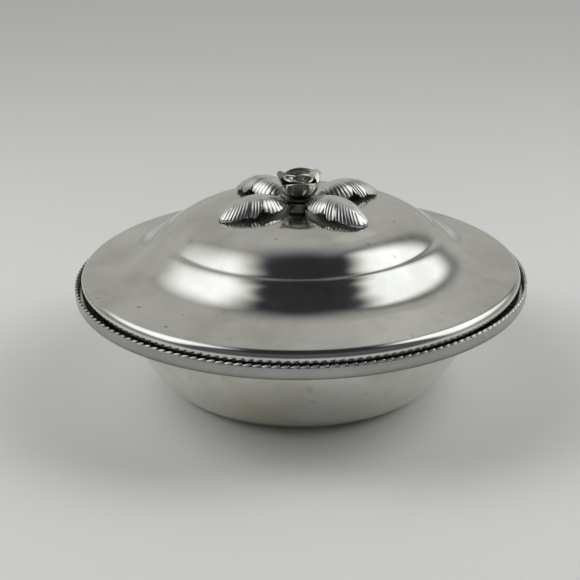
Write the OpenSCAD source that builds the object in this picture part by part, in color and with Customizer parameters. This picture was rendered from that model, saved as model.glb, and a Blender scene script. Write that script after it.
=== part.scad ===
// Covered serving bowl in spun aluminium. A flanged bowl with an upturned, notched
// rim carries a stepped lid, and a rose on two pairs of leaves is the lid's knob.
// Millimetres. The origin is the centre of the foot, on the table, with +Z up.

/* [Bowl] */
// Diameter over the upturned rim band
rim_d = 260; // [240:1:290]
// Height from the table to the tips of the rim teeth
bowl_h = 65.5; // [58:0.5:80]
// Sheet thickness of the bowl
bowl_wall = 1.6; // [1.2:0.1:2]
// Diameter of the flat foot
foot_d = 128; // [110:1:140]
// Radius of the bend from the foot into the side
foot_bend = 27; // [22:0.5:32]
// Lean of the side above the foot bend, in degrees from level
side_lean_low = 55; // [48:1:62]
// Lean of the side under the ledge, in degrees from level
side_lean_top = 76; // [68:1:84]
// Diameter at which the flat ledge starts, round the mouth
mouth_d = 222; // [212:1:228]
// Radius of the bend from the side into the ledge
mouth_bend = 4; // [3:0.5:6]
// Height of the rim band, from under the ledge to the tooth tips
band_h = 8.6; // [6.6:0.2:12]
// Outside radius of the bend from the ledge into the band
band_bend = 3; // [2.5:0.1:3.4]

/* [Rim teeth] */
// Teeth round the rim
tooth_count = 172; // [120:4:200]
// Depth of the notches between the teeth
tooth_h = 1.8; // [0.8:0.1:2.5]
// Width of a tooth at its tip
tooth_tip = 0.9; // [0.5:0.1:1.5]
// Sideways lean of the notches
tooth_lean = 0.9; // [0:0.1:1.2]

/* [Lid] */
// Sheet thickness of the lid
lid_wall = 1.4; // [1:0.1:1.8]
// Gap all round between the lid's skirt and the rim band
lid_gap = 2.1; // [1:0.1:3]
// Gap under the skirt, where it stands on the ledge
seat_gap = 0.05; // [0.05:0.05:0.3]
// Height of the lid's edge, from the ledge to the brim
skirt_h = 12.7; // [9:0.1:16]
// Radius of the turned-down lip
lip_bend = 4.5; // [3:0.1:6]
// Diameter at which the lower tier meets the brim
tier_foot_d = 211; // [204:1:216]
// Rise of the brim from the lip to the lower tier
brim_rise = 3.8; // [2:0.1:6]
// Rise of the lower tier from the brim to the step
tier_rise = 15.1; // [11:0.1:19]
// How far the tier's shoulder runs on before it falls
shoulder_run = 7.8; // [4:0.1:10]
// How far the fillet at the tier's foot runs in
fillet_run = 17; // [10:0.5:20]
// Width of the step between the tiers
step_w = 1.8; // [1.2:0.1:4]
// Fall of the step across its width
step_fall = 1; // [0.5:0.1:1.4]
// Diameter of the upper dome at the step
dome_d = 155; // [146:1:166]
// Rise of the upper dome from the step to its crown
dome_rise = 14; // [9:0.1:20]
// Diameter of the flat crown that the knob stands on
crown_d = 56; // [40:1:70]

/* [Leaves] */
// Sheet thickness of the leaves
leaf_t = 1.2; // [0.8:0.1:1.6]
// Reach of each leaf's tip from the lid's axis
leaf_reach = 51.5; // [46:0.5:60]
// Width of a leaf across its lobes
leaf_w = 21.4; // [18:0.2:23]
// Rise of a leaf's arch above the line from its foot to its tip
leaf_arch = 9.5; // [7:0.1:12]
// Radius of the leaf's rounded cross section
leaf_round = 12.6; // [12.6:0.2:18]
// Gap between a leaf's tip and the dome
leaf_tip_gap = 0.3; // [0.2:0.05:1]
// Saw teeth along each edge of a leaf
leaf_teeth = 15; // [9:3:21]
// Depth of a leaf's saw teeth
leaf_tooth_h = 0.9; // [0.4:0.1:1.4]
// Depth of the notches between the lobes, as a share of the width
leaf_lobe = 0.3; // [0.1:0.05:0.45]
// Diameter of the round eye that joins a pair of leaves
leaf_eye_d = 15; // [12:0.5:18]
// Bearing of the lower pair of leaves
leaf_turn = 30; // [0:1:90]
// Angle from the lower pair of leaves to the upper pair
leaf_cross = 102; // [80:1:105]

/* [Rose] */
// Height of the calyx under the rose
calyx_h = 2; // [1.2:0.1:4]
// Diameter of the calyx
calyx_d = 18.4; // [15:0.1:19.6]
// Sheet thickness of the petals
petal_t = 0.9; // [0.6:0.1:1.2]
// Gap between one cup of petals and what stands inside it
petal_gap = 1.4; // [1:0.1:1.6]
// Diameter of the cup that the front and back petals make
outer_cup_d = 22.6; // [21:0.1:26]
// Height of the front and back petals
outer_cup_h = 12.2; // [9:0.1:14]
// Radius of the rounded outline of the front and back petals
outer_petal_round = 11.2; // [9:0.1:12]
// Height of the side petals
side_cup_h = 13.8; // [12:0.1:17]
// Outward flare of the side petals at the top
side_flare = 2.6; // [0:0.1:3]
// Radius of the rounded outline of the side petals
side_petal_round = 10.6; // [9:0.1:12]
// Height of the inner petals
inner_cup_h = 10.4; // [7:0.1:13]
// Radius of the rounded outline of the inner petals
inner_petal_round = 7; // [6:0.1:8]
// Bearing of the inner petals
inner_turn = 50; // [20:1:70]
// Height of the rolled bud
bud_h = 9.4; // [8:0.1:12]

/* [Fixing screw] */
// Diameter of the screw that holds the knob
screw_d = 4; // [3:0.5:5]
// Clearance round the screw in the parts it passes through
screw_gap = 0.3; // [0.2:0.05:0.6]
// Clearance round the screw in the thread of the bud
thread_gap = 0.05; // [0.05:0.05:0.1]
// Length of the screw in the bud
thread_len = 5; // [3.5:0.5:6]
// Diameter of the screw's head
head_d = 8; // [7:0.5:9]
// Height of the screw's head
head_h = 2.4; // [2:0.1:3.2]
// Width of the driver slot
slot_w = 1; // [0.8:0.1:1.4]
// Depth of the driver slot
slot_h = 1.1; // [0.8:0.1:1.4]
// Diameter of the washer under the head
washer_d = 14; // [11:0.5:18]
// Thickness of the washer
washer_t = 1; // [0.6:0.1:1.5]

/* [Hidden] */
$fn = 96;
spare = 1;                                          // overshoot of every cutting shape
flat_inset = 0.5;                                   // how far before a bend a flat face ends
bend_runs = 8;                                      // straight runs in a tight bend
curve_runs = 14;                                    // straight runs in a long curve
bright = [0.78, 0.78, 0.76];                        // polished aluminium
satin = [0.68, 0.68, 0.66];                         // brushed aluminium
steel = [0.62, 0.63, 0.64];                         // plain screw steel

rim_r = rim_d / 2;
mouth_r = mouth_d / 2;
foot_r = foot_d / 2;
ledge_under = bowl_h - band_h;
ledge_top = ledge_under + bowl_wall;
tooth_pitch = 360 / tooth_count;
notch_w = rim_r * tooth_pitch * PI / 180 - tooth_tip;
notch_over = 1.1;                                   // how much larger than a notch its cutting shape is

seat_z = ledge_top + seat_gap;
lid_r = rim_r - bowl_wall - lid_gap;
lip_z = seat_z + skirt_h;
tier_foot_z = lip_z + brim_rise;
step_z = tier_foot_z + tier_rise;
dome_edge_z = step_z + step_fall;
crown_z = dome_edge_z + dome_rise;
dome_r = dome_d / 2;
crown_r = crown_d / 2;
step_r = dome_r + step_w;
tier_foot_r = tier_foot_d / 2;
brim_fall = atan(brim_rise / (lid_r - lip_bend - tier_foot_r));
step_lean = atan(step_fall / step_w);
screw_hole = screw_d + 2 * screw_gap;

leaf_foot = leaf_eye_d / 2 - leaf_t;                // radius at which a leaf's outline starts, in the eye
leaf_run = leaf_reach - leaf_foot;
leaf_sink = 0.8;                                    // share of its sheet that a leaf sinks into the eye
leaf_neck = leaf_eye_d / 4;                         // half the width of a leaf where it leaves the eye
leaf_skew = 2;                                      // above 1, a leaf is widest nearer to its tip
leaf_fullness = 0.3;                                // below 1, a leaf is fuller than a plain sine
lobe_count = 3;                                     // lobes along each edge of a leaf
lobe_end = 0.5 / lobe_count;                        // share of the length, at each end, with no notch
notch_sharpness = 4;                                // higher, the notches between lobes are narrower
lower_z = crown_z;
upper_z = lower_z + leaf_t;
calyx_z = upper_z + leaf_t;
outer_z = calyx_z + calyx_h;
side_z = outer_z + petal_t;
inner_z = side_z + petal_t;
bud_z = inner_z + petal_t;
side_cup_d = outer_cup_d - 2 * (petal_t + petal_gap);
inner_cup_d = side_cup_d - 2 * (petal_t + petal_gap);
bud_d = inner_cup_d - 2 * (petal_t + petal_gap);
screw_land = 1.6;                                   // flat land round the screw, under the bud
floor_step = 0.4;                                   // how much each flat floor grows on the one above
bud_foot_r = screw_hole / 2 + screw_land;
inner_floor_r = bud_foot_r + floor_step;
side_floor_r = inner_floor_r + floor_step;
outer_floor_r = side_floor_r + floor_step;
calyx_floor_r = outer_floor_r + floor_step;
petal_spread = 0.5;                                 // pull of a petal's curve outwards, above its floor
petal_upright = 0.6;                                // pull of a petal's curve upwards, under its top
bud_swell = 1.25;                                   // pull of the bud's curve outwards, above its foot
bud_swell_at = 0.3;                                 // share of the bud's height at which it swells
bud_tip = 0.25;                                     // share of the bud's radius that is flat at its tip
washer_z = crown_z - lid_wall - washer_t;
thread_hole = screw_d + 2 * thread_gap;

// Unit vector at an angle
function heading(a) = [cos(a), sin(a)];

// Points on an arc, both ends included
function arc(c, r, from, to, n) = [for (i = [0:n]) c + r * heading(from + (to - from) * i / n)];

// Points inside a cubic curve, both ends left out
function curve(a, b, c, d, n) = [for (i = [1:n - 1])
    let (t = i / n, s = 1 - t)
    s * s * s * a + 3 * s * s * t * b + 3 * s * t * t * c + t * t * t * d];

// A path moved sideways by d, to its left where d is positive
function shifted(path, d) = let (last = len(path) - 1) [for (i = [0:last])
    let (run = path[min(i + 1, last)] - path[max(i - 1, 0)])
    path[i] + d * [-run.y, run.x] / norm(run)];

// Points of a path from its end to its start
function reversed(path) = [for (i = [len(path) - 1:-1:0]) path[i]];

// Height of the lid's outer face over the crown and the upper dome
function dome_height(r) = crown_z - dome_rise * pow(max(0, r - crown_r) / (dome_r - crown_r), 3);

// Outer outline of the crown and the upper dome, from the axis to the step
function dome_path() = concat([[0, crown_z], [crown_r - flat_inset, crown_z]], [for (i = [0:curve_runs])
    let (r = crown_r + (dome_r - crown_r) * i / curve_runs) [r, dome_height(r)]]);

// Outer outline of the bowl from the axis to the tooth tips
function bowl_path() = let (
    bend_mid = [foot_r, foot_bend],
    throat_mid = [mouth_r, ledge_under - mouth_bend],
    low = bend_mid + foot_bend * heading(side_lean_low - 90),
    top = throat_mid + mouth_bend * heading(side_lean_top + 90),
    pull = norm(top - low) / 3)
    concat([[0, 0], [foot_r - flat_inset, 0]],
        arc(bend_mid, foot_bend, -90, side_lean_low - 90, bend_runs),
        curve(low, low + pull * heading(side_lean_low),
            top - pull * heading(side_lean_top), top, bend_runs),
        arc(throat_mid, mouth_bend, side_lean_top + 90, 90, bend_runs),
        arc([rim_r - band_bend, ledge_under + band_bend], band_bend, -90, 0, bend_runs),
        [[rim_r, bowl_h]]);

// Outer outline of the lid from the axis to the foot of the skirt
function lid_path() = let (
    step_end = [step_r, step_z],
    foot = [tier_foot_r, tier_foot_z])
    concat(dome_path(), [step_end],
        curve(step_end, step_end + shoulder_run * heading(-step_lean),
            foot - fillet_run * heading(-brim_fall), foot, curve_runs),
        [foot],
        arc([lid_r - lip_bend, lip_z - lip_bend], lip_bend, 90 - brim_fall, 0, bend_runs),
        [[lid_r, seat_z]]);

// Half the width of a leaf at a share s of its length, without its saw teeth
function leaf_half(s) = let (
    along = pow(s, leaf_skew),
    body = pow(sin(180 * along), leaf_fullness),
    wave = pow(abs(cos(180 * lobe_count * along)), notch_sharpness),
    notch = along > lobe_end && along < 1 - lobe_end ? leaf_lobe * wave : 0)
    max(leaf_neck * (1 - s), leaf_w / 2 * body * (1 - notch));

// One edge of a leaf from foot to tip; every second point is a saw tooth that leans out
function leaf_edge(side) = [for (i = [0:2 * leaf_teeth - 1])
    let (s = i / (2 * leaf_teeth), out = i % 2 * leaf_tooth_h)
    [leaf_foot + leaf_run * s + out, side * (leaf_half(s) + out)]];

// Sheet shell of revolution whose outer outline is path, d thick to the left
module spun_shell(path, d) {
    rotate_extrude() polygon(concat(path, reversed(shifted(path, d))));
}

// Round hole through everything near the axis
module screw_bore(from, to) {
    translate([0, 0, from - spare]) cylinder(d = screw_hole, h = to - from + 2 * spare);
}

// Leaning notch between two teeth at bearing 0, run on a little above the rim
module rim_notch() {
    root = [tooth_lean, -tooth_h];
    translate([rim_r - bowl_wall - spare, 0, bowl_h]) rotate([90, 0, 90])
        linear_extrude(bowl_wall + 2 * spare)
            polygon([root, root + notch_over * ([notch_w / 2, 0] - root),
                     root + notch_over * ([-notch_w / 2, 0] - root)]);
}

module bowl() {
    color(satin) difference() {
        spun_shell(bowl_path(), bowl_wall);
        for (i = [0:tooth_count - 1]) rotate([0, 0, i * tooth_pitch]) rim_notch();
    }
}

module lid() {
    color(bright) difference() {
        spun_shell(lid_path(), -lid_wall);
        screw_bore(crown_z - lid_wall, crown_z);
    }
}

// Room that the lid takes up under the leaves, with a gap above its dome
module dome_room() {
    low = dome_edge_z - spare;
    rotate_extrude() translate([0, leaf_tip_gap])
        polygon(concat(dome_path(), [[dome_r, low], [0, low]]));
}

// One arched leaf along +X, cut from a ring-shaped shell by its outline
module leaf(base_z) {
    foot = [leaf_eye_d / 2, base_z + leaf_t * leaf_sink];
    tip = [leaf_reach, dome_height(leaf_reach) + leaf_tip_gap + leaf_t * sqrt(2)];
    chord = tip - foot;
    arch_r = (chord * chord / 4 + leaf_arch * leaf_arch) / (2 * leaf_arch);
    mid = (foot + tip) / 2 + (leaf_arch - arch_r) * [-chord.y, chord.x] / norm(chord);
    difference() {
        intersection() {
            translate([mid.x, 0, mid.y]) rotate([90, 0, 0])
                rotate_extrude() translate([arch_r - leaf_round, 0]) intersection() {
                    difference() {
                        circle(leaf_round);
                        circle(leaf_round - leaf_t);
                    }
                    translate([0, -leaf_round]) square([leaf_round + spare, 2 * leaf_round]);
                }
            translate([0, 0, dome_edge_z]) linear_extrude(dome_rise + 2 * leaf_arch)
                polygon(concat(leaf_edge(1), [[leaf_reach, 0]], reversed(leaf_edge(-1))));
        }
        dome_room();
        translate([0, 0, base_z - 2 * leaf_t])
            cylinder(d = leaf_eye_d + 2 * leaf_tip_gap, h = 2 * leaf_t);
    }
}

module leaf_pair(base_z, turn) {
    color(bright) rotate([0, 0, turn]) difference() {
        union() {
            translate([0, 0, base_z]) cylinder(d = leaf_eye_d, h = leaf_t);
            for (half = [0, 180]) rotate([0, 0, half]) leaf(base_z);
        }
        screw_bore(base_z, base_z + leaf_t);
    }
}

module leaf_pair_lower() {
    leaf_pair(lower_z, leaf_turn);
}

module leaf_pair_upper() {
    leaf_pair(upper_z, leaf_turn + leaf_cross);
}

// Dished collar between the leaves and the rose
module calyx() {
    brim = calyx_d / 2;
    color(bright) rotate_extrude()
        polygon([[screw_hole / 2, calyx_z], [calyx_floor_r, calyx_z],
                 [brim, outer_z], [brim, outer_z + petal_t],
                 [calyx_floor_r, outer_z], [screw_hole / 2, outer_z]]);
}

// Two facing petals raised from one strip, with the strip along the bearing turn
module petal_strip(base_z, floor_r, cup_d, cup_h, flare, petal_round, turn) {
    cup_r = cup_d / 2;
    floor_end = [floor_r, base_z];
    spread = [floor_r + (cup_r - floor_r) * petal_spread, base_z + petal_t / 2];
    upright = [cup_r, base_z + cup_h * petal_upright];
    top = [cup_r + flare, base_z + cup_h];
    path = concat([[0, base_z], [floor_r - flat_inset, base_z], floor_end],
        curve(floor_end, spread, upright, top, bend_runs),
        [top]);
    color(bright) rotate([0, 0, turn]) difference() {
        intersection() {
            spun_shell(path, petal_t);
            translate([-cup_d, 0, base_z + cup_h - petal_round]) rotate([0, 90, 0])
                cylinder(r = petal_round, h = 2 * cup_d);
        }
        screw_bore(base_z, base_z + petal_t);
    }
}

module petals_front_back() {
    petal_strip(outer_z, outer_floor_r, outer_cup_d, outer_cup_h, 0, outer_petal_round, 90);
}

module petals_sides() {
    petal_strip(side_z, side_floor_r, side_cup_d, side_cup_h, side_flare, side_petal_round, 0);
}

module petals_inner() {
    petal_strip(inner_z, inner_floor_r, inner_cup_d, inner_cup_h, 0, inner_petal_round, inner_turn);
}

module rose_bud() {
    bud_r = bud_d / 2;
    foot = [bud_foot_r, bud_z];
    belly = [bud_r * bud_swell, bud_z + bud_h * bud_swell_at];
    tip = [bud_r * bud_tip, bud_z + bud_h];
    path = concat([[0, bud_z], foot],
        curve(foot, belly, [bud_r, bud_z + bud_h], tip, bend_runs),
        [tip, [0, bud_z + bud_h]]);
    color(bright) difference() {
        rotate_extrude() polygon(path);
        translate([0, 0, bud_z - spare])
            cylinder(d = thread_hole, h = thread_len + 2 * spare);
    }
}

module screw_washer() {
    color(steel) difference() {
        translate([0, 0, washer_z]) cylinder(d = washer_d, h = washer_t);
        screw_bore(washer_z, washer_z + washer_t);
    }
}

module finial_screw() {
    head_z = washer_z - head_h;
    color(steel) difference() {
        union() {
            translate([0, 0, head_z]) cylinder(d = head_d, h = head_h);
            translate([0, 0, washer_z]) cylinder(d = screw_d, h = bud_z + thread_len - washer_z);
        }
        translate([-head_d, -slot_w / 2, head_z - spare])
            cube([2 * head_d, slot_w, slot_h + spare]);
    }
}

bowl();
lid();
screw_washer();
finial_screw();
leaf_pair_lower();
leaf_pair_upper();
calyx();
petals_front_back();
petals_sides();
petals_inner();
rose_bud();
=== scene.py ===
import math

import bpy
from mathutils import Matrix, Vector


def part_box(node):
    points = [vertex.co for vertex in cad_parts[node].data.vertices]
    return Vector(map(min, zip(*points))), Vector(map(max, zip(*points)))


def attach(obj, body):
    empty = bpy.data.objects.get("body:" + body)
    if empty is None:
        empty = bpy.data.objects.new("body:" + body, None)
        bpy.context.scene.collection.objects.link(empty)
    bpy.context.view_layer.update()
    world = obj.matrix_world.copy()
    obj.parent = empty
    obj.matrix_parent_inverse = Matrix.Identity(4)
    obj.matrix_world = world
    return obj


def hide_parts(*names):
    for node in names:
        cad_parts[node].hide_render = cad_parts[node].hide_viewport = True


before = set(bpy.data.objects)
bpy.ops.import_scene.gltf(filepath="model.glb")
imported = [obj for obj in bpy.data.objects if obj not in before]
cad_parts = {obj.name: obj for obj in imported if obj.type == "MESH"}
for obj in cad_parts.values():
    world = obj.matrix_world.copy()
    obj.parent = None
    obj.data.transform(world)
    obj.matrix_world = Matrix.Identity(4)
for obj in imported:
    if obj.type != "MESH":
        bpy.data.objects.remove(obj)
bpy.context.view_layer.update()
print("frame loaded:", ", ".join(sorted(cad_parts)))

tau = 2 * math.pi
mm = 0.001
onAxis = 1e-7  # a ring closer to the axis than this is one point
scene = bpy.context.scene


# small maths

def smooth(low, high, value):
    share = min(1.0, max(0.0, (value - low) / (high - low)))
    return share * share * (3 - 2 * share)


def evenSteps(first, last, count):  # both ends included
    return [first + (last - first) * k / count for k in range(count + 1)]


def arcPoints(centre, radius, fromAngle, toAngle, count):
    angles = evenSteps(fromAngle, toAngle, count)
    return [(centre[0] + radius * math.cos(a), centre[1] + radius * math.sin(a)) for a in angles]


def cubic(t, values):  # a cubic curve's value at t, from its four controls
    s = 1 - t
    weights = (s * s * s, 3 * s * s * t, 3 * s * t * t, t * t * t)
    return sum(weight * value for weight, value in zip(weights, values))


def curvePoints(a, b, c, d, count):  # cubic curve, both ends included
    across, up = zip(a, b, c, d)
    return [(cubic(i / count, across), cubic(i / count, up)) for i in range(count + 1)]


def shiftedPath(path, distance):  # to the left of the way it runs
    moved = []
    for i, (r, z) in enumerate(path):
        before = path[max(i - 1, 0)]
        after = path[min(i + 1, len(path) - 1)]
        runR, runZ = after[0] - before[0], after[1] - before[1]
        length = math.hypot(runR, runZ)
        moved.append((r - distance * runZ / length, z + distance * runR / length))
    return moved


def along(angle, length):
    return (length * math.cos(angle), length * math.sin(angle))


def plus(a, b):
    return (a[0] + b[0], a[1] + b[1])


# mesh helpers

def meshPiece(name, points, faces, finish, sharpAngle=40):
    mesh = bpy.data.meshes.new(name)
    mesh.from_pydata([tuple(p) for p in points], [], faces)
    mesh.validate()
    mesh.polygons.foreach_set("use_smooth", [True] * len(mesh.polygons))
    mesh.set_sharp_from_angle(angle=math.radians(sharpAngle))
    mesh.materials.append(finish)
    piece = bpy.data.objects.new(name, mesh)
    scene.collection.objects.link(piece)
    return piece


def setAttribute(piece, name, values):
    layer = piece.data.attributes.new(name, "FLOAT", "POINT")
    layer.data.foreach_set("value", values)


def spunShell(path, segments, closed):  # the open side is to the left of the path
    points, rings, faces = [], [], []
    for r, z in path:
        if r < onAxis:
            rings.append([len(points)] * segments)
            points.append((0, 0, z))
            continue
        rings.append(list(range(len(points), len(points) + segments)))
        points += [(r * math.cos(tau * k / segments), r * math.sin(tau * k / segments), z)
                   for k in range(segments)]
    pairs = list(zip(rings, rings[1:]))
    if closed:
        pairs.append((rings[-1], rings[0]))
    for ring, after in pairs:
        for k in range(segments):
            n = (k + 1) % segments
            corners = [ring[k], after[k], after[n], ring[n]]
            faces.append(list(dict.fromkeys(corners)))
    return points, faces


def flatRing(innerR, outerR, baseZ, thick, segments):
    top = baseZ + thick
    return spunShell([(innerR, top), (outerR, top), (outerR, baseZ), (innerR, baseZ)], segments, True)


def closedSheet(outer, inner):  # two grids of the same rows and columns, joined all round
    rows, columns = len(outer), len(outer[0])
    count = rows * columns
    faces = []
    for i in range(rows - 1):
        for j in range(columns - 1):
            a, b = i * columns + j, i * columns + j + 1
            c, d = b + columns, a + columns
            faces.append([a, d, c, b])
            faces.append([count + a, count + b, count + c, count + d])
    edge = list(range(columns))
    edge += [i * columns + columns - 1 for i in range(1, rows)]
    edge += [(rows - 1) * columns + j for j in range(columns - 2, -1, -1)]
    edge += [i * columns for i in range(rows - 2, 0, -1)]
    for a, b in zip(edge, edge[1:] + edge[:1]):
        faces.append([a, b, count + b, count + a])
    return [p for row in outer for p in row] + [p for row in inner for p in row], faces


def thickSheet(grid, thickness):  # thickness goes against the normal
    rows, columns = len(grid), len(grid[0])
    inner = []
    for i in range(rows):
        row = []
        for j in range(columns):
            down = grid[min(i + 1, rows - 1)][j] - grid[max(i - 1, 0)][j]
            across = grid[i][min(j + 1, columns - 1)] - grid[i][max(j - 1, 0)]
            row.append(grid[i][j] - thickness * down.cross(across).normalized())
        inner.append(row)
    return closedSheet(grid, inner)


def joined(*parts):  # several point and face lists as one
    points, faces = [], []
    for partPoints, partFaces in parts:
        start = len(points)
        points += [Vector(p) for p in partPoints]
        faces += [[start + k for k in face] for face in partFaces]
    return points, faces


def place(piece, body, slot, *nodes):
    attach(piece, body)
    if nodes:
        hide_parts(*nodes)


# a ring of copies of one mesh, made with Geometry Nodes

def ringTree():
    tree = bpy.data.node_groups.new("ringOfCopies", "GeometryNodeTree")
    face = tree.interface
    face.new_socket("Geometry", in_out="INPUT", socket_type="NodeSocketGeometry")
    face.new_socket("Geometry", in_out="OUTPUT", socket_type="NodeSocketGeometry")
    wanted = (("Copy", "NodeSocketObject"), ("Count", "NodeSocketInt"), ("Radius", "NodeSocketFloat"),
              ("Height", "NodeSocketFloat"), ("First Bearing", "NodeSocketFloat"),
              ("Finish", "NodeSocketMaterial"))
    keys = {label: face.new_socket(label, in_out="INPUT", socket_type=kind).identifier
            for label, kind in wanted}
    nodes, links = tree.nodes, tree.links
    start, end = nodes.new("NodeGroupInput"), nodes.new("NodeGroupOutput")
    line = nodes.new("GeometryNodePoints")
    number = nodes.new("GeometryNodeInputIndex")
    share = nodes.new("ShaderNodeMath")
    share.operation = "DIVIDE"
    turn = nodes.new("ShaderNodeMath")
    turn.operation = "MULTIPLY_ADD"
    turn.inputs[1].default_value = tau
    spin = nodes.new("ShaderNodeCombineXYZ")
    arm = nodes.new("ShaderNodeCombineXYZ")
    swing = nodes.new("ShaderNodeVectorRotate")
    swing.rotation_type = "Z_AXIS"
    copy = nodes.new("GeometryNodeObjectInfo")
    spread = nodes.new("GeometryNodeInstanceOnPoints")
    real = nodes.new("GeometryNodeRealizeInstances")
    paint = nodes.new("GeometryNodeSetMaterial")
    links.new(start.outputs["Count"], line.inputs["Count"])
    links.new(number.outputs[0], share.inputs[0])
    links.new(start.outputs["Count"], share.inputs[1])
    links.new(share.outputs[0], turn.inputs[0])
    links.new(start.outputs["First Bearing"], turn.inputs[2])
    links.new(turn.outputs[0], spin.inputs["Z"])
    links.new(start.outputs["Radius"], arm.inputs["X"])
    links.new(start.outputs["Height"], arm.inputs["Z"])
    links.new(arm.outputs[0], swing.inputs["Vector"])
    links.new(turn.outputs[0], swing.inputs["Angle"])
    links.new(swing.outputs[0], line.inputs["Position"])
    links.new(start.outputs["Copy"], copy.inputs["Object"])
    links.new(line.outputs[0], spread.inputs["Points"])
    links.new(copy.outputs["Geometry"], spread.inputs["Instance"])
    links.new(spin.outputs[0], spread.inputs["Rotation"])
    links.new(spread.outputs[0], real.inputs[0])
    links.new(real.outputs[0], paint.inputs["Geometry"])
    links.new(start.outputs["Finish"], paint.inputs["Material"])
    links.new(paint.outputs[0], end.inputs[0])
    return tree, keys


copyTree, copyKeys = ringTree()


def ringOfCopies(name, source, count, finish, radius=0.0, height=0.0, firstBearing=0.0):
    piece = bpy.data.objects.new(name, bpy.data.meshes.new(name))
    scene.collection.objects.link(piece)
    ring = piece.modifiers.new("ring", "NODES")
    ring.node_group = copyTree
    values = {"Copy": source, "Count": count, "Radius": radius, "Height": height,
              "First Bearing": firstBearing, "Finish": finish}
    for label, value in values.items():
        ring[copyKeys[label]] = value
    graph = bpy.context.evaluated_depsgraph_get()
    mesh = bpy.data.meshes.new_from_object(piece.evaluated_get(graph), depsgraph=graph)
    piece.modifiers.clear()
    piece.data = mesh
    mesh.name = name
    bpy.data.objects.remove(source)
    return piece


def joinPieces(main, *others):  # one mesh out of several, kept under the first one's name
    scene.view_layers[0].update()
    with bpy.context.temp_override(active_object=main, object=main,
                                   selected_editable_objects=[main, *others],
                                   selected_objects=[main, *others]):
        bpy.ops.object.join()
    return main


# finishes

firmClouds = (0.35, 0.65)  # noise values that a finish changes between
softClouds = (0.3, 0.7)  # a wider range, for softer changes


def newFinish(name, metallic=1):
    finish = bpy.data.materials.new(name)
    finish.use_nodes = True
    nodes = finish.node_tree.nodes
    shader = nodes["Principled BSDF"]
    shader.inputs["Metallic"].default_value = metallic
    return finish, nodes, finish.node_tree.links, shader


def mathNode(nodes, links, operation, first, second=0.0):
    node = nodes.new("ShaderNodeMath")
    node.operation = operation
    for socket, value in zip(node.inputs, (first, second)):
        if isinstance(value, (int, float)):
            socket.default_value = value
        else:
            links.new(value, socket)
    return node.outputs[0]


def rangeNode(nodes, links, value, fromLow, fromHigh, toLow=0.0, toHigh=1.0):
    node = nodes.new("ShaderNodeMapRange")
    node.interpolation_type = "SMOOTHSTEP"
    links.new(value, node.inputs["Value"])
    limits = {"From Min": fromLow, "From Max": fromHigh, "To Min": toLow, "To Max": toHigh}
    for label, number in limits.items():
        node.inputs[label].default_value = number
    return node.outputs["Result"]


def noiseNode(nodes, links, vector, scale, detail=2.0, roughness=0.5):
    node = nodes.new("ShaderNodeTexNoise")
    links.new(vector, node.inputs["Vector"])
    node.inputs["Scale"].default_value = scale
    node.inputs["Detail"].default_value = detail
    node.inputs["Roughness"].default_value = roughness
    return node.outputs["Fac"]


def mixColour(nodes, links, share, first, second):
    node = nodes.new("ShaderNodeMix")
    node.data_type = "RGBA"
    links.new(share, node.inputs["Factor"])
    for label, value in (("A", first), ("B", second)):
        socket = [s for s in node.inputs if s.name == label and s.type == "RGBA"][0]
        if isinstance(value, tuple):
            socket.default_value = (*value, 1)
        else:
            links.new(value, socket)
    return [s for s in node.outputs if s.type == "RGBA"][0]


def spanMix(nodes, links, value, span, first, second):  # turns to the second colour over the span
    return mixColour(nodes, links, rangeNode(nodes, links, value, *span), first, second)


def bumpNode(nodes, links, height, distance, normal=None):
    node = nodes.new("ShaderNodeBump")
    node.inputs["Strength"].default_value = 1
    node.inputs["Distance"].default_value = distance
    links.new(height, node.inputs["Height"])
    if normal is not None:
        links.new(normal, node.inputs["Normal"])
    return node.outputs["Normal"]


def turnedCoordinates(nodes, links):  # position, bearing on the unit circle, radius and height
    position = nodes.new("ShaderNodeTexCoord").outputs["Object"]
    flat = nodes.new("ShaderNodeVectorMath")
    flat.operation = "MULTIPLY"
    flat.inputs[1].default_value = (1, 1, 0)
    links.new(position, flat.inputs[0])
    bearing = nodes.new("ShaderNodeVectorMath")
    bearing.operation = "NORMALIZE"
    links.new(flat.outputs[0], bearing.inputs[0])
    radius = nodes.new("ShaderNodeVectorMath")
    radius.operation = "LENGTH"
    links.new(flat.outputs[0], radius.inputs[0])
    height = nodes.new("ShaderNodeSeparateXYZ")
    links.new(position, height.inputs[0])
    return position, bearing.outputs[0], radius.outputs["Value"], height.outputs["Z"]


def ringLines(nodes, links, bearing, radius, height, look):  # noise drawn out round the axis
    split = nodes.new("ShaderNodeSeparateXYZ")
    links.new(bearing, split.inputs[0])
    vector = nodes.new("ShaderNodeCombineXYZ")
    scaled = {"X": (split.outputs["X"], look["lineBreaks"]), "Y": (split.outputs["Y"], look["lineBreaks"]),
              "Z": (mathNode(nodes, links, "ADD", radius, height), look["linesPerMetre"])}
    for axis, (value, scale) in scaled.items():
        links.new(mathNode(nodes, links, "MULTIPLY", value, scale), vector.inputs[axis])
    return noiseNode(nodes, links, vector.outputs[0], 1, look["lineDetail"])


lidLook = {"pale": (0.72, 0.72, 0.71), "dull": (0.585, 0.585, 0.55), "stain": (0.36, 0.35, 0.32),
           "cloudScale": 22, "cloudDetail": 5, "cloudGrain": 0.6, "roughness": (0.095, 0.145),
           "lineBreaks": 5, "linesPerMetre": 1400, "lineDetail": 3, "scratch": 0.0025 * mm,
           "wornLines": (0.55, 0.75), "wornRoughness": 0.03, "waveScale": 30, "waviness": 0.06 * mm,
           "specksPerMetre": 42, "speckSize": (0.02, 0.055), "speckShare": 0.6, "speckStrength": 0.9,
           "raggedScale": 900, "ragged": 0.02}  # specks are measured in shares of their cell


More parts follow.
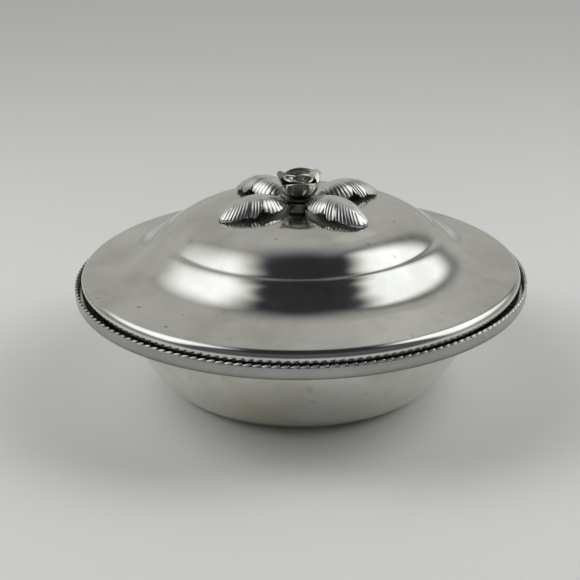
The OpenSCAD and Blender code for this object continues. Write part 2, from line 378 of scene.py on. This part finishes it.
def speckMask(nodes, links, position):  # a dull speck in some cells of a loose pattern
    cells = nodes.new("ShaderNodeTexVoronoi")
    cells.voronoi_dimensions = "2D"
    cells.inputs["Scale"].default_value = lidLook["specksPerMetre"]
    links.new(position, cells.inputs["Vector"])
    split = nodes.new("ShaderNodeSeparateColor")
    links.new(cells.outputs["Color"], split.inputs[0])
    kept = mathNode(nodes, links, "LESS_THAN", split.outputs[0], lidLook["speckShare"])
    grain = noiseNode(nodes, links, position, lidLook["raggedScale"])
    ragged = rangeNode(nodes, links, grain, *softClouds, -lidLook["ragged"], lidLook["ragged"])
    reach = mathNode(nodes, links, "ADD", cells.outputs["Distance"], ragged)
    near = rangeNode(nodes, links, reach, *lidLook["speckSize"], lidLook["speckStrength"], 0)
    faint = mathNode(nodes, links, "MULTIPLY", near, split.outputs[1])
    return mathNode(nodes, links, "MULTIPLY", kept, faint)


def polishedLid():
    look = lidLook
    finish, nodes, links, shader = newFinish("lidPolish")
    position, bearing, radius, height = turnedCoordinates(nodes, links)
    cloud = noiseNode(nodes, links, position, look["cloudScale"], look["cloudDetail"], look["cloudGrain"])
    tone = spanMix(nodes, links, cloud, firmClouds, look["dull"], look["pale"])
    specks = speckMask(nodes, links, position)
    links.new(mixColour(nodes, links, specks, tone, look["stain"]), shader.inputs["Base Color"])
    lines = ringLines(nodes, links, bearing, radius, height, look)
    soft = rangeNode(nodes, links, cloud, *softClouds, *look["roughness"])
    worn = rangeNode(nodes, links, lines, *look["wornLines"], 0, look["wornRoughness"])
    links.new(mathNode(nodes, links, "ADD", soft, worn), shader.inputs["Roughness"])
    waves = noiseNode(nodes, links, position, look["waveScale"])
    wavy = bumpNode(nodes, links, waves, look["waviness"])
    links.new(bumpNode(nodes, links, lines, look["scratch"], wavy), shader.inputs["Normal"])
    return finish


bowlLook = {"pale": (0.825, 0.83, 0.80), "dull": (0.71, 0.70, 0.615), "stain": (0.52, 0.50, 0.43),
            "cloudScale": 26, "cloudDetail": 5, "cloudGrain": 0.62,
            "stainScale": 120, "stainDetail": 3, "stainClouds": (0.62, 0.78), "stainStrength": 0.7,
            # the band's two tones are painted shade, far darker than the metal's reflections make it
            "band": (0.35, 0.35, 0.34), "bandShadePale": (0.42, 0.42, 0.41), "bandFootShade": (0.24, 0.24, 0.225),
            "bandReach": (126.2 * mm, 127.5 * mm),  # radius
            # the band's low colour is painted shade at its foot, where it mirrors the floor's shadow; it
            # fades out between these two depths
            "footShadeFrom": 8.6 * mm, "footShadeTo": 4.2 * mm,  # below the top of the band
            "roughness": 0.17, "bandRoughness": 0.27, "wear": (-0.03, 0.05),
            "lineBreaks": 4, "linesPerMetre": 1100, "lineDetail": 3, "scratch": 0.008 * mm,
            "waveScale": 34, "waviness": 0.08 * mm}


def satinBowl():
    look = bowlLook
    finish, nodes, links, shader = newFinish("bowlSatin")
    position, bearing, radius, height = turnedCoordinates(nodes, links)
    cloud = noiseNode(nodes, links, position, look["cloudScale"], look["cloudDetail"], look["cloudGrain"])
    sideTone = spanMix(nodes, links, cloud, firmClouds, look["dull"], look["pale"])
    # the band's darker tone is painted shade
    bandShadedTone = spanMix(nodes, links, cloud, firmClouds, look["band"], look["bandShadePale"])
    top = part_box("bowl")[1].z
    # painted shade: the band darkens towards its foot, where it mirrors the floor's shadow
    clearOfFootShade = rangeNode(nodes, links, height, top - look["footShadeFrom"], top - look["footShadeTo"])
    bandShadedTone = mixColour(nodes, links, clearOfFootShade, look["bandFootShade"], bandShadedTone)
    band = rangeNode(nodes, links, radius, *look["bandReach"])
    tone = mixColour(nodes, links, band, sideTone, bandShadedTone)
    spots = noiseNode(nodes, links, position, look["stainScale"], look["stainDetail"])
    stains = rangeNode(nodes, links, spots, *look["stainClouds"], 0, look["stainStrength"])
    links.new(mixColour(nodes, links, stains, tone, look["stain"]), shader.inputs["Base Color"])
    soft = rangeNode(nodes, links, band, 0, 1, look["roughness"], look["bandRoughness"])
    worn = rangeNode(nodes, links, cloud, *softClouds, *look["wear"])
    links.new(mathNode(nodes, links, "ADD", soft, worn), shader.inputs["Roughness"])
    waves = noiseNode(nodes, links, position, look["waveScale"])
    wavy = bumpNode(nodes, links, waves, look["waviness"])
    lines = ringLines(nodes, links, bearing, radius, height, look)
    links.new(bumpNode(nodes, links, lines, look["scratch"], wavy), shader.inputs["Normal"])
    return finish


ropeLook = {"pale": (0.74, 0.74, 0.72), "dull": (0.52, 0.52, 0.50), "roughness": (0.32, 0.2),
            "cloudScale": 300, "cloudDetail": 3}


def wornRope():
    look = ropeLook
    finish, nodes, links, shader = newFinish("ropeWorn")
    position = nodes.new("ShaderNodeTexCoord").outputs["Object"]
    cloud = noiseNode(nodes, links, position, look["cloudScale"], look["cloudDetail"])
    tone = spanMix(nodes, links, cloud, softClouds, look["dull"], look["pale"])
    links.new(tone, shader.inputs["Base Color"])
    links.new(rangeNode(nodes, links, cloud, *softClouds, *look["roughness"]), shader.inputs["Roughness"])
    return finish


patinaLook = {"cloudDetail": 4, "wear": (-0.03, 0.04), "finer": 6}  # shared by leaves, rose and collar


# the deep attribute holds patina in hollows, and also painted shade where a rose petal is set dark
def patinaAndShadeMetal(name, look):  # darker and duller where the mesh's deep attribute is high
    finish, nodes, links, shader = newFinish(name)
    position = nodes.new("ShaderNodeTexCoord").outputs["Object"]
    attribute = nodes.new("ShaderNodeAttribute")
    attribute.attribute_name = "deep"
    deep = attribute.outputs["Fac"]
    cloud = noiseNode(nodes, links, position, look["grain"], patinaLook["cloudDetail"])
    tone = spanMix(nodes, links, cloud, firmClouds, look["dull"], look["pale"])
    links.new(mixColour(nodes, links, deep, tone, look["deep"]), shader.inputs["Base Color"])
    soft = rangeNode(nodes, links, deep, 0, 1, look["roughness"], look["deepRoughness"])
    worn = rangeNode(nodes, links, cloud, *softClouds, *patinaLook["wear"])
    links.new(mathNode(nodes, links, "ADD", soft, worn), shader.inputs["Roughness"])
    fine = noiseNode(nodes, links, position, look["grain"] * patinaLook["finer"])
    links.new(bumpNode(nodes, links, fine, look["scratch"]), shader.inputs["Normal"])
    return finish


leafLook = {"pale": (0.80, 0.80, 0.79), "dull": (0.69, 0.69, 0.68), "deep": (0.40, 0.40, 0.37),
            "roughness": 0.22, "deepRoughness": 0.40, "grain": 160, "scratch": 0.01 * mm}
# the rose's deep colour is patina in the hollows and painted shade on the petals that are set dark
roseLook = {"pale": (0.66, 0.65, 0.61), "dull": (0.57, 0.56, 0.51), "deep": (0.22, 0.20, 0.15),
            "roughness": 0.15, "deepRoughness": 0.32, "grain": 120, "scratch": 0.003 * mm}
# the collar's dark tone is painted shade, for the dark gap under the rose
collarShadeLook = {"pale": (0.28, 0.26, 0.21), "dull": (0.23, 0.21, 0.16), "deep": (0.20, 0.18, 0.14),
              "roughness": 0.34, "deepRoughness": 0.36, "grain": 120, "scratch": 0.003 * mm}

lidFinish = polishedLid()
bowlFinish = satinBowl()
ropeFinish = wornRope()
leafFinish = patinaAndShadeMetal("leafBright", leafLook)
roseFinish = patinaAndShadeMetal("roseBright", roseLook)
collarShadeFinish = patinaAndShadeMetal("collarPaintedShade", collarShadeLook)
print("finishes made")


# bowl with its ledge, its upturned band and the roped edge on it

bowlSizes = {"wall": 1.6 * mm, "footR": 64 * mm, "footBend": 27 * mm, "leanLow": math.radians(55),
             "leanTop": math.radians(76), "mouthR": 111 * mm, "mouthBend": 4 * mm, "bandH": 8.6 * mm,
             "bandBend": 3 * mm, "edgeRound": 0.5 * mm, "footRings": (0, 0.5, 0.98), "footSteps": 24,
             "sideSteps": 30, "mouthSteps": 10, "ledgeSteps": 4, "bandSteps": 12, "edgeSteps": 4,
             "segments": 300}
ropeSizes = {"count": 172, "half": 2.9 * mm, "thick": 0.62 * mm, "deep": 0.86 * mm,
             "lean": math.radians(15), "sides": 10, "rings": 6}


def bowlOutline(rimR, bowlTop, bodyTop):
    s = bowlSizes
    under = bowlTop - s["bandH"]
    bendMid = (s["footR"], s["footBend"])
    throatMid = (s["mouthR"], under - s["mouthBend"])
    bandMid = (rimR - s["bandBend"], under + s["bandBend"])
    low = plus(bendMid, along(s["leanLow"] - tau / 4, s["footBend"]))
    top = plus(throatMid, along(s["leanTop"] + tau / 4, s["mouthBend"]))
    pull = math.dist(low, top) / 3
    side = curvePoints(low, plus(low, along(s["leanLow"], pull)),
                       plus(top, along(s["leanTop"] + tau / 2, pull)), top, s["sideSteps"])
    outer = [(share * s["footR"], 0) for share in s["footRings"]]
    outer += arcPoints(bendMid, s["footBend"], -tau / 4, s["leanLow"] - tau / 4, s["footSteps"])
    outer += side[1:-1]
    outer += arcPoints(throatMid, s["mouthBend"], s["leanTop"] + tau / 4, tau / 4, s["mouthSteps"])
    outer += [(r, under) for r in evenSteps(s["mouthR"], bandMid[0], s["ledgeSteps"])[1:-1]]
    outer += arcPoints(bandMid, s["bandBend"], -tau / 4, 0, s["bandSteps"])
    edgeZ = bodyTop - s["edgeRound"]
    outer.append((rimR, edgeZ))
    inner = shiftedPath(outer, s["wall"])
    inner[0] = (0, s["wall"])
    outEdge = arcPoints((rimR - s["edgeRound"], edgeZ), s["edgeRound"], 0, tau / 4, s["edgeSteps"])
    inEdge = arcPoints((rimR - s["wall"] + s["edgeRound"], edgeZ), s["edgeRound"], tau / 4, tau / 2,
                       s["edgeSteps"])
    crest = outEdge[1:] + inEdge[:-1]
    return inner + crest[::-1] + outer[::-1]


def ropeStrand():  # one leaning strand, along Y at bearing 0
    s = ropeSizes
    points = [Vector((0, 0, s["half"]))]
    for i in range(1, s["rings"]):
        polar = math.pi * i / s["rings"]
        for k in range(s["sides"]):
            turn = tau * k / s["sides"]
            points.append(Vector((s["deep"] * math.sin(polar) * math.cos(turn),
                                  s["thick"] * math.sin(polar) * math.sin(turn),
                                  s["half"] * math.cos(polar))))
    points.append(Vector((0, 0, -s["half"])))
    last = len(points) - 1
    faces = []
    for k in range(s["sides"]):
        n = (k + 1) % s["sides"]
        faces.append([0, 1 + k, 1 + n])
        for i in range(s["rings"] - 2):
            a, b = 1 + i * s["sides"] + k, 1 + i * s["sides"] + n
            faces.append([a, a + s["sides"], b + s["sides"], b])
        faces.append([last, last - s["sides"] + n, last - s["sides"] + k])
    lay = Matrix.Rotation(s["lean"] - tau / 4, 3, "X")
    return meshPiece("ropeStrand", [lay @ p for p in points], faces, ropeFinish, sharpAngle=80)


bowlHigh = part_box("bowl")[1]
rimR = bowlHigh.x
ropeRise = math.hypot(ropeSizes["half"] * math.sin(ropeSizes["lean"]),
                      ropeSizes["thick"] * math.cos(ropeSizes["lean"]))
ropeMiddle = bowlHigh.z - ropeRise
bowlPath = bowlOutline(rimR, bowlHigh.z, ropeMiddle)
bowlShell = meshPiece("bowlShell", *spunShell(bowlPath, bowlSizes["segments"], False), bowlFinish)
place(bowlShell, "bowl", "bowl_aluminium", "bowl")
rimRope = ringOfCopies("rimRope", ropeStrand(), ropeSizes["count"], ropeFinish,
                       radius=rimR - ropeSizes["deep"], height=ropeMiddle)
place(rimRope, "bowl", "bowl_aluminium")
print("bowl made, band top at", round(ropeMiddle / mm, 2), "mm")


# lid, spun in two tiers

lidSizes = {"wall": 1.4 * mm, "lipBend": 4.5 * mm, "skirtH": 12.7 * mm, "tierFootR": 105.5 * mm,
            "brimRise": 3.8 * mm, "shoulderRun": 7.8 * mm, "filletRun": 17 * mm, "stepW": 1.8 * mm,
            "stepFall": 1 * mm, "stepLead": 0.7, "creaseLean": math.radians(24), "domeR": 77.5 * mm,
            "domeRise": 14 * mm, "domePower": 3, "crownR": 28 * mm, "holeR": 2.3 * mm,
            "crownSteps": 6, "domeSteps": 40, "tierSteps": 40, "brimSteps": 8, "lipSteps": 16,
            "skirtSteps": 4, "segments": 288}
lidLow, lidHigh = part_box("lid")
crownZ = lidHigh.z


def domeHeight(r):
    s = lidSizes
    share = max(0.0, r - s["crownR"]) / (s["domeR"] - s["crownR"])
    return crownZ - s["domeRise"] * share ** s["domePower"]


def lidOutline():
    s = lidSizes
    lidR, seatZ = lidHigh.x, lidLow.z
    lipZ = seatZ + s["skirtH"]
    brimFall = math.atan(s["brimRise"] / (lidR - s["lipBend"] - s["tierFootR"]))
    stepEnd = (s["domeR"] + s["stepW"], domeHeight(s["domeR"]) - s["stepFall"])
    foot = (s["tierFootR"], lipZ + s["brimRise"])
    path = [(r, crownZ) for r in evenSteps(s["holeR"], s["crownR"], s["crownSteps"])[:-1]]
    path += [(r, domeHeight(r)) for r in evenSteps(s["crownR"], s["domeR"], s["domeSteps"])]
    path.append(plus(stepEnd, along(math.pi - s["creaseLean"], s["stepLead"] * s["stepW"])))
    path += curvePoints(stepEnd, plus(stepEnd, along(-s["creaseLean"], s["shoulderRun"])),
                        plus(foot, along(math.pi - brimFall, s["filletRun"])), foot, s["tierSteps"])
    lipMid = (lidR - s["lipBend"], lipZ - s["lipBend"])
    lip = arcPoints(lipMid, s["lipBend"], tau / 4 - brimFall, 0, s["lipSteps"])
    path += list(zip(evenSteps(foot[0], lip[0][0], s["brimSteps"]),
                     evenSteps(foot[1], lip[0][1], s["brimSteps"])))[1:-1]
    path += lip
    path += [(lidR, z) for z in evenSteps(seatZ, lip[-1][1], s["skirtSteps"])[-2::-1]]
    return path + shiftedPath(path, -s["wall"])[::-1]


lidShell = meshPiece("lidShell", *spunShell(lidOutline(), lidSizes["segments"], True), lidFinish)
place(lidShell, "lid", "lid_aluminium", "lid")
print("lid made, crown at", round(crownZ / mm, 2), "mm")


# leaves, two on each strip

leafSizes = {"reach": 51.5 * mm, "eyeR": 7.5 * mm, "holeR": 2.3 * mm, "rise": 9.5 * mm, "round": 12.6 * mm,
             "thick": 1.2 * mm, "tipGap": 0.4 * mm, "tipRaise": 1.4, "ribs": 18, "rowsPerRib": 10,
             "columns": 41, "bow": 1.3, "plainFoot": 1.2, "plainTip": 0.2,  # plain ends, in ribs
             "ribDepth": 0.4 * mm, "ribFrom": (0.1, 0.42), "scallop": 0.6 * mm, "lobeEnds": (7, 11),
             "lobeRibs": (0.4, 1.0, 0.65), "grooveDark": 1.4, "underDark": 0.8, "eyeDark": 0.7,
             "eyeSegments": 64}
# half a leaf from foot to tip: rib number, then in mm the reach of the rib's end, half width there
# and reach of its root
leafRibs = [(0, 7.2, 3.0, 7.2), (1, 12.2, 6.2, 13.0), (3, 18.6, 10.3, 19.0), (5, 24.4, 11.5, 23.0),
            (6.6, 28.8, 10.8, 25.6), (7, 29.9, 7.6, 26.2), (7.4, 31.0, 10.4, 26.8), (9, 35.2, 11.7, 30.0),
            (10.6, 38.2, 10.7, 32.4), (11, 39.0, 7.0, 32.9), (11.4, 39.9, 10.2, 33.4), (13, 43.8, 9.2, 35.4),
            (15, 47.8, 7.0, 38.6), (17, 50.6, 3.6, 43.6), (18, 51.5, 0.4, 50.0)]
leafBearings = {"leaf_pair_lower": math.radians(30), "leaf_pair_upper": math.radians(132)}


def leafRib(number):  # reach of its end, half width there and reach of its root
    for (a, *low), (b, *high) in zip(leafRibs, leafRibs[1:]):
        if number <= b:
            share = (number - a) / (b - a)
            return [mm * (p + (q - p) * share) for p, q in zip(low, high)]


def lobeStrength(number):  # the ribs are deepest on the middle lobe
    firstEnd, secondEnd = leafSizes["lobeEnds"]
    inner, middle, outer = leafSizes["lobeRibs"]
    strength = inner + (middle - inner) * smooth(firstEnd - 1, firstEnd + 1, number)
    return strength + (outer - middle) * smooth(secondEnd - 1, secondEnd + 1, number)


def leafSheet(baseZ):  # rows run from the ridge out along the ribs
    size = leafSizes
    foot = Vector((size["eyeR"] - size["thick"], baseZ + size["thick"]))
    tipZ = domeHeight(size["reach"]) + size["tipGap"] + size["thick"] * size["tipRaise"]
    tip = Vector((size["reach"], tipZ))
    chord = tip - foot
    archR = (chord.length_squared / 4 + size["rise"] ** 2) / (2 * size["rise"])
    middle = (foot + tip) / 2 + (size["rise"] - archR) * Vector((-chord.y, chord.x)) / chord.length
    upper, lower, deep = [], [], []
    for i in range(size["ribs"] * size["rowsPerRib"] + 1):
        number = i / size["rowsPerRib"]
        endReach, halfWidth, rootReach = leafRib(number)
        swell = abs(math.sin(math.pi * number)) ** 0.5
        ends = smooth(0, size["plainFoot"], number)
        ends *= 1 - smooth(size["ribs"] - size["plainTip"], size["ribs"], number)
        bendEnd = math.asin(halfWidth / size["round"]) + size["scallop"] * swell * ends / size["round"]
        upperRow, lowerRow = [], []
        for j in range(size["columns"]):
            v = 2 * j / (size["columns"] - 1) - 1
            reach = rootReach + (endReach - rootReach) * abs(v) ** size["bow"]
            groove = (1 - swell) * ends * smooth(*size["ribFrom"], abs(v)) * lobeStrength(number)
            for row, sink, lift in ((upperRow, size["ribDepth"] * groove, size["thick"]),
                                    (lowerRow, size["thick"], 0)):
                tube = size["round"] - sink
                side = tube * math.sin(v * bendEnd)
                arch = archR - size["round"] + tube * math.cos(v * bendEnd)
                rise = middle.y + math.sqrt(max(0, arch ** 2 - (reach - middle.x) ** 2))
                floorZ = domeHeight(math.hypot(reach, side)) + size["tipGap"] + lift
                row.append(Vector((reach, side, max(rise, floorZ))))
            deep.append(min(1, size["grooveDark"] * groove))
        upper.append(upperRow)
        lower.append(lowerRow)
    points, faces = closedSheet(upper, lower)
    return points, faces, deep + [size["underDark"]] * len(deep)


for node, baseZ in (("leaf_pair_lower", crownZ), ("leaf_pair_upper", crownZ + leafSizes["thick"])):
    points, faces, deep = leafSheet(baseZ)
    leaf = meshPiece(node + "_leaf", points, faces, leafFinish, sharpAngle=60)
    setAttribute(leaf, "deep", deep)
    pair = ringOfCopies(node + "_sheet", leaf, 2, leafFinish, firstBearing=leafBearings[node])
    ring = flatRing(leafSizes["holeR"], leafSizes["eyeR"], baseZ, leafSizes["thick"],
                    leafSizes["eyeSegments"])
    eye = meshPiece(node + "_eye", *ring, leafFinish)
    setAttribute(eye, "deep", [leafSizes["eyeDark"]] * len(eye.data.vertices))
    place(joinPieces(pair, eye), "lid", "leaf_aluminium", node)
print("leaves made")


# rose, of nested petal sheets round a rolled bud

roseSizes = {"thick": 0.65 * mm, "rows": 20, "rollRows": 8, "columns": 53, "rollFade": 0.75,
             "fallPower": 2.2, "knee": 0.14, "curl": math.radians(170), "darkSpan": (0.1, 0.85),
             "outsideDark": 0.25, "floorSegments": 48}
# each petal: bearing and span in degrees, lengths in mm, the rest in shares; falls are at its two sides,
# dark is painted shade over the whole petal and sunk is how dark the inside's foot is
outerPetals = [
    {"bearing": -88, "span": 146, "floor": 4.9, "cup": 10.9, "height": 10.6, "falls": (3.8, 2.4), "roll": 0.3,
     "belly": (0.6, 0.98), "shoulder": 0.6, "dark": 0.3, "sunk": 1},
    {"bearing": 84, "span": 160, "floor": 4.9, "cup": 10.6, "height": 13.5, "falls": (5.0, 5.0), "roll": 0.95,
     "belly": (0.5, 0.9), "shoulder": 0.6, "dark": 0.5, "sunk": 1},
]
sidePetals = [
    {"bearing": 172, "span": 100, "floor": 4.7, "cup": 12.8, "height": 13.7, "falls": (5.0, 4.5),
     "roll": -0.5, "belly": (0.42, 0.68), "shoulder": 0.64, "dark": 0.8, "sunk": 1},
    {"bearing": 30, "span": 84, "floor": 4.5, "cup": 11.4, "height": 13.0, "falls": (4.5, 4.5), "roll": 0.2,
     "belly": (0.1, 0.3), "shoulder": 0.76, "dark": 0, "sunk": 1},
]
innerPetals = [
    {"bearing": 196, "span": 176, "floor": 4.1, "cup": 8.4, "height": 10.0, "falls": (2.0, 1.2), "roll": 0.4,
     "belly": (0.2, 0.55), "shoulder": 0.55, "dark": 0, "sunk": 0.3},
    {"bearing": 30, "span": 170, "floor": 4.1, "cup": 7.0, "height": 9.6, "falls": (1.6, 2.0), "roll": 0.4,
     "belly": (0.3, 0.7), "shoulder": 0.6, "dark": 0, "sunk": 0.6},
]
budSizes = {"turns": 2.3, "firstBearing": math.radians(200), "outR": 4.6 * mm, "inR": 1.0 * mm,
            "height": 8.4 * mm, "thick": 0.6 * mm, "flare": (0.82, 0.36, 0.55), "outerHeight": 0.86,
            "footDark": 0.6, "darkSpan": (0.3, 0.95), "coreShare": 0.75, "coreRises": (0.8, 0.7, 0.3),
            "coreSegments": 40, "rows": 16, "columns": 120}


def petalSheet(spec, baseZ):  # a roll below nought curls in
    size = roseSizes
    grid, deep = [], []
    rows = size["rows"] + size["rollRows"]
    for i in range(rows + 1):
        row = []
        for j in range(size["columns"]):
            u = 1 - 2 * j / (size["columns"] - 1)
            roll = mm * spec["roll"] * (1 - size["rollFade"] * u * u)
            fall = spec["falls"][0 if u < 0 else 1] * abs(u) ** size["fallPower"]
            tall = mm * (spec["height"] - fall) - abs(roll)
            floor, cup = mm * spec["floor"], mm * spec["cup"]
            t = min(1, i / size["rows"])
            r = cubic(t, (floor, *(floor + share * (cup - floor) for share in spec["belly"]), cup))
            z = cubic(t, (0, size["knee"] * tall, spec["shoulder"] * tall, tall))
            if i > size["rows"]:
                curl = size["curl"] * (i - size["rows"]) / size["rollRows"]
                r += roll * (1 - math.cos(curl))
                z += abs(roll) * math.sin(curl)
            bearing = math.radians(spec["bearing"] + spec["span"] / 2 * u)
            row.append(Vector((r * math.cos(bearing), r * math.sin(bearing), baseZ + z)))
            deep.append(1 - smooth(*size["darkSpan"], i / rows))
        grid.append(row)
    points, faces = thickSheet(grid, size["thick"])
    # painted shade: dark makes a whole petal darker
    outside = [max(size["outsideDark"] * d, spec["dark"]) for d in deep]
    inside = [max(spec["sunk"] * d, spec["dark"]) for d in deep]
    return points, faces, outside + inside


def petalPiece(node, specs):
    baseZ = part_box(node)[0].z
    parts, deep = [], []
    for spec in specs:
        points, faces, shade = petalSheet(spec, baseZ)
        parts.append((points, faces))
        deep += shade
    floorR = mm * max(spec["floor"] for spec in specs) + roseSizes["thick"]
    ring = flatRing(leafSizes["holeR"], floorR, baseZ, roseSizes["thick"], roseSizes["floorSegments"])
    parts.append(ring)
    deep += [1.0] * len(ring[0])
    piece = meshPiece(node + "_sheet", *joined(*parts), roseFinish, sharpAngle=60)
    setAttribute(piece, "deep", deep)
    place(piece, "lid", "rose_aluminium", node)


def rolledBud():
    s = budSizes
    waist, swell, close = s["flare"]
    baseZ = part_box("rose_bud")[0].z
    grid, deep = [], []
    for i in range(s["rows"] + 1):
        row = []
        t = i / s["rows"]
        for j in range(s["columns"] + 1):
            k = 1 - j / s["columns"]
            r = s["outR"] + (s["inR"] - s["outR"]) * k
            r *= waist + swell * t * (1 - close * t)
            tall = s["height"] * (s["outerHeight"] + (1 - s["outerHeight"]) * k)
            turn = tau * s["turns"] * k + s["firstBearing"]
            row.append(Vector((r * math.cos(turn), r * math.sin(turn), baseZ + tall * t)))
            deep.append(s["footDark"] * (1 - smooth(*s["darkSpan"], t)))
        grid.append(row)
    points, faces = thickSheet(grid, s["thick"])
    coreR = s["coreShare"] * s["outR"]
    tipZ, browZ, sideZ = (baseZ + rise * s["height"] for rise in s["coreRises"])
    corePath = [(0, tipZ), (s["inR"], browZ), (coreR, sideZ), (coreR, baseZ), (0, baseZ)]
    core = spunShell(corePath, s["coreSegments"], False)
    piece = meshPiece("rose_bud_roll", *joined((points, faces), core), roseFinish, sharpAngle=60)
    setAttribute(piece, "deep", deep + deep + [1.0] * len(core[0]))
    place(piece, "lid", "rose_aluminium", "rose_bud")


petalPiece("petals_front_back", outerPetals)
petalPiece("petals_sides", sidePetals)
petalPiece("petals_inner", innerPetals)
rolledBud()
print("rose made")


# pieces that keep their plain solid: collar, washer and screw

def keepSolid(node, finish):
    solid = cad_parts[node]
    solid.data.materials.clear()
    solid.data.materials.append(finish)


steelLook = {"pale": (0.60, 0.61, 0.62), "dull": (0.44, 0.45, 0.46), "roughness": (0.28, 0.43),
             "lineBreaks": 6, "linesPerMetre": 3000, "lineDetail": 2}


def plainSteel():
    look = steelLook
    finish, nodes, links, shader = newFinish("screwSteel")
    bearing, radius, height = turnedCoordinates(nodes, links)[1:]
    lines = ringLines(nodes, links, bearing, radius, height, look)
    tone = spanMix(nodes, links, lines, softClouds, look["dull"], look["pale"])
    links.new(tone, shader.inputs["Base Color"])
    links.new(rangeNode(nodes, links, lines, *softClouds, *look["roughness"]), shader.inputs["Roughness"])
    return finish


screwFinish = plainSteel()
keepSolid("screw_washer", screwFinish)
keepSolid("finial_screw", screwFinish)
# the collar is painted dark, as shade for the dark gap under the rose
keepSolid("calyx", collarShadeFinish)
print("collar, washer and screw kept")


# floor, world, lamps and camera

floorLook = {"pale": (0.80, 0.80, 0.785), "dullShare": 0.97, "cloudScale": 3, "cloudDetail": 3,
             "roughness": 0.9, "specular": 0.1, "side": 40.0}


def paleFloor():
    look = floorLook
    half = look["side"] / 2
    corners = [(-half, -half, 0), (half, -half, 0), (half, half, 0), (-half, half, 0)]
    finish, nodes, links, shader = newFinish("floorPale", metallic=0)
    position = nodes.new("ShaderNodeTexCoord").outputs["Object"]
    cloud = noiseNode(nodes, links, position, look["cloudScale"], look["cloudDetail"])
    dull = tuple(look["dullShare"] * c for c in look["pale"])
    links.new(mixColour(nodes, links, cloud, dull, look["pale"]), shader.inputs["Base Color"])
    shader.inputs["Roughness"].default_value = look["roughness"]
    shader.inputs["Specular IOR Level"].default_value = look["specular"]
    floor = meshPiece("floor", corners, [[0, 1, 2, 3]], finish)


# what each part of the studio gives, by bearing from the front and rise in degrees
# the four numbers are where a part begins, is full, begins to fade and ends; a shade takes light away
studioDim = 0.033
studioParts = {
    "backWall": {"bearings": (121, 149, 200, 220), "rises": (-95, -91, 52, 83), "level": 0.47,
                 "bothSides": True},
    "lowWall": {"bearings": (40, 80, 200, 220), "rises": (-95, -91, 8, 17), "level": 0.42,
                "bothSides": True},
    "frontRoom": {"bearings": (-2, -1, 60, 90), "rises": (-95, -91, 40, 66), "level": 0.11,
                  "bothSides": True},
    "rightFrame": {"bearings": (122, 135, 142, 151), "rises": (8, 18, 58, 76), "level": 0.42,
                   "shades": True},
    "leftSoftbox": {"bearings": (-162, -104, -76, -56), "rises": (10, 38, 58, 77), "level": 1.5},
    "rightSoftbox": {"bearings": (68, 87, 126, 145), "rises": (4, 30, 58, 71), "level": 1.5},
    "rightWall": {"bearings": (150, 159, 168, 178), "rises": (30, 39, 50, 61), "level": 0.58},
    "leftWall": {"bearings": (-160, -147, -124, -106), "rises": (2, 10, 26, 40), "level": 0.49},
}
studioTints = {"dark": (0.94, 0.97, 1.04), "wall": (1, 0.985, 0.92), "lamp": (0.975, 0.99, 1),
               "wallLevels": (0.06, 0.4), "lampLevels": (0.5, 1.2)}
floorLamps = {"places": (Vector((-0.8, -0.04, 0.7)), Vector((0.8, -0.04, 0.7))), "side": 0.5, "watts": 2.7}


def studioWorld():
    world = bpy.data.worlds.new("studio")
    scene.world = world
    world.use_nodes = True
    nodes, links = world.node_tree.nodes, world.node_tree.links
    split = nodes.new("ShaderNodeSeparateXYZ")
    links.new(nodes.new("ShaderNodeTexCoord").outputs["Generated"], split.inputs[0])
    degree = math.degrees(1)
    towards = mathNode(nodes, links, "MULTIPLY", split.outputs["Y"], -1)
    bearing = mathNode(nodes, links, "MULTIPLY",
                       mathNode(nodes, links, "ARCTAN2", split.outputs["X"], towards), degree)
    eitherWay = mathNode(nodes, links, "ABSOLUTE", bearing)
    rise = mathNode(nodes, links, "MULTIPLY", mathNode(nodes, links, "ARCSINE", split.outputs["Z"]), degree)
    level = studioDim
    for part in studioParts.values():
        share = part["level"]
        turn = eitherWay if "bothSides" in part else bearing
        for value, (begin, full, fade, end) in ((turn, part["bearings"]), (rise, part["rises"])):
            share = mathNode(nodes, links, "MULTIPLY", rangeNode(nodes, links, value, begin, full), share)
            share = mathNode(nodes, links, "MULTIPLY", rangeNode(nodes, links, value, fade, end, 1, 0), share)
        if "shades" in part:
            level = mathNode(nodes, links, "MULTIPLY", mathNode(nodes, links, "SUBTRACT", 1, share), level)
        else:
            level = mathNode(nodes, links, "MAXIMUM", share, level)
    tints = studioTints
    tint = spanMix(nodes, links, level, tints["wallLevels"], tints["dark"], tints["wall"])
    tint = spanMix(nodes, links, level, tints["lampLevels"], tint, tints["lamp"])
    links.new(tint, nodes["Background"].inputs["Color"])
    links.new(level, nodes["Background"].inputs["Strength"])


def lightFloor():  # the softboxes' light on the floor; the world gives their mirror images
    for spot in floorLamps["places"]:
        data = bpy.data.lights.new("floorLamp", "AREA")
        data.size = floorLamps["side"]
        data.energy = floorLamps["watts"]
        lamp = bpy.data.objects.new("floorLamp", data)
        lamp.location = spot
        lamp.rotation_euler = spot.to_track_quat("Z", "Y").to_euler()
        lamp.visible_glossy = False
        scene.collection.objects.link(lamp)


cameraSizes = {"away": 0.700, "rise": math.radians(22.05), "aim": Vector((-0.00625, 0, 0.05262)),
               "roll": math.radians(-0.72), "sensor": 36, "focalPixels": 1192, "imagePixels": 580}


def photoCamera():
    s = cameraSizes
    data = bpy.data.cameras.new("camera")
    data.sensor_width = s["sensor"]
    data.lens = s["sensor"] * s["focalPixels"] / s["imagePixels"]
    camera = bpy.data.objects.new("camera", data)
    back = Vector((0, -math.cos(s["rise"]), math.sin(s["rise"])))
    camera.location = s["aim"] + s["away"] * back
    turn = back.to_track_quat("Z", "Y").to_matrix() @ Matrix.Rotation(s["roll"], 3, "Z")
    camera.rotation_euler = turn.to_euler()
    scene.collection.objects.link(camera)
    scene.camera = camera


paleFloor()
studioWorld()
lightFloor()
photoCamera()
scene.view_settings.view_transform = "Standard"
print("stage made")
